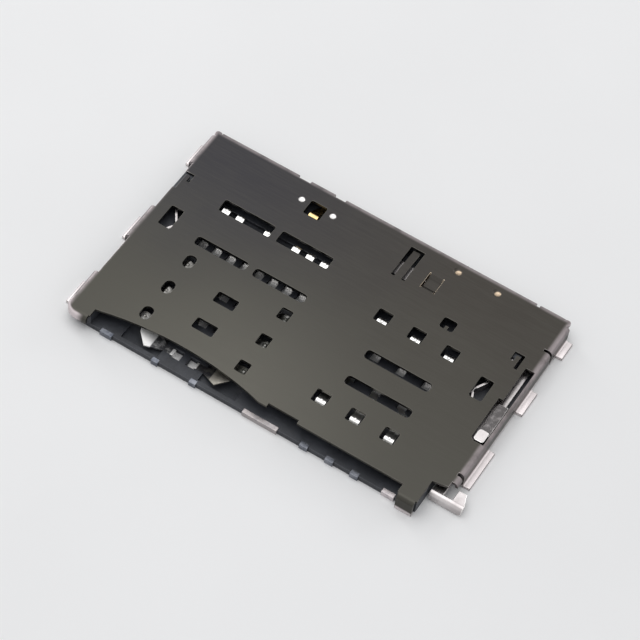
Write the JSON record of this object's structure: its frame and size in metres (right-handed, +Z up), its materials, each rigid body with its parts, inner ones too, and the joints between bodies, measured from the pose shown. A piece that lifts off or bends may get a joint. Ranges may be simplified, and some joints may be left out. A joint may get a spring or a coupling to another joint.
{
  "type": "sim card socket",
  "caption": "Flat board-mounted card socket: a pierced steel shell over a moulded base with spring contacts, a front tray slot, and a rod and lever that push the tray out.",
  "frame": {"origin": "on the board face, at the centre of the shell's footprint", "axes": "+Z up from the board, +Y to the rear, away from the tray mouth, +X to the ejector rod's side"},
  "size_m": [0.0295, 0.0187, 0.0014],
  "materials": {
    "shell_sheet": "matt rolled sheet",
    "moulding": "fine moulded matt",
    "ejector_steel": "bright stamped",
    "contact_strip": "bright plated",
    "gold_strip": "thin bright plating"
  },
  "bodies": {
    "socket": {"shell": "shell_sheet", "housing": "moulding", "left_lock_spring": "ejector_steel", "right_lock_spring": "ejector_steel", "detect_spring": "gold_strip", "detect_pad": "gold_strip", "front_pads": "contact_strip", "sd_contact_1": "contact_strip", "sd_contact_2": "contact_strip", "sd_contact_3": "contact_strip", "sd_contact_4": "contact_strip", "sd_contact_5": "contact_strip", "sd_contact_6": "contact_strip", "sd_contact_7": "contact_strip", "sd_contact_8": "contact_strip", "sim_a_contact_1": "contact_strip", "sim_a_contact_2": "contact_strip", "sim_a_contact_3": "contact_strip", "sim_a_contact_4": "contact_strip", "sim_a_contact_5": "contact_strip", "sim_a_contact_6": "contact_strip", "sim_b_contact_1": "contact_strip", "sim_b_contact_2": "contact_strip", "sim_b_contact_3": "contact_strip", "sim_b_contact_4": "contact_strip", "sim_b_contact_5": "contact_strip", "sim_b_contact_6": "contact_strip"},
    "rod": {"push_rod": "ejector_steel"},
    "lever": {"eject_lever": "ejector_steel"}
  },
  "joints": [
    {"name": "rod_push", "type": "slide", "parent": "socket", "child": "rod", "axis": [0, 1, 0], "range_m": [0, 0.0015]},
    {"name": "lever_turn", "type": "hinge", "parent": "socket", "child": "lever", "pos_m": [0.0047, 0.00641, 0], "axis": [0, 0, 1], "range_deg": [0, 10.3]}
  ],
  "couplings": [
    {"joint": "lever_turn", "follows": "rod_push", "rad_per_m": 119.76}
  ]
}
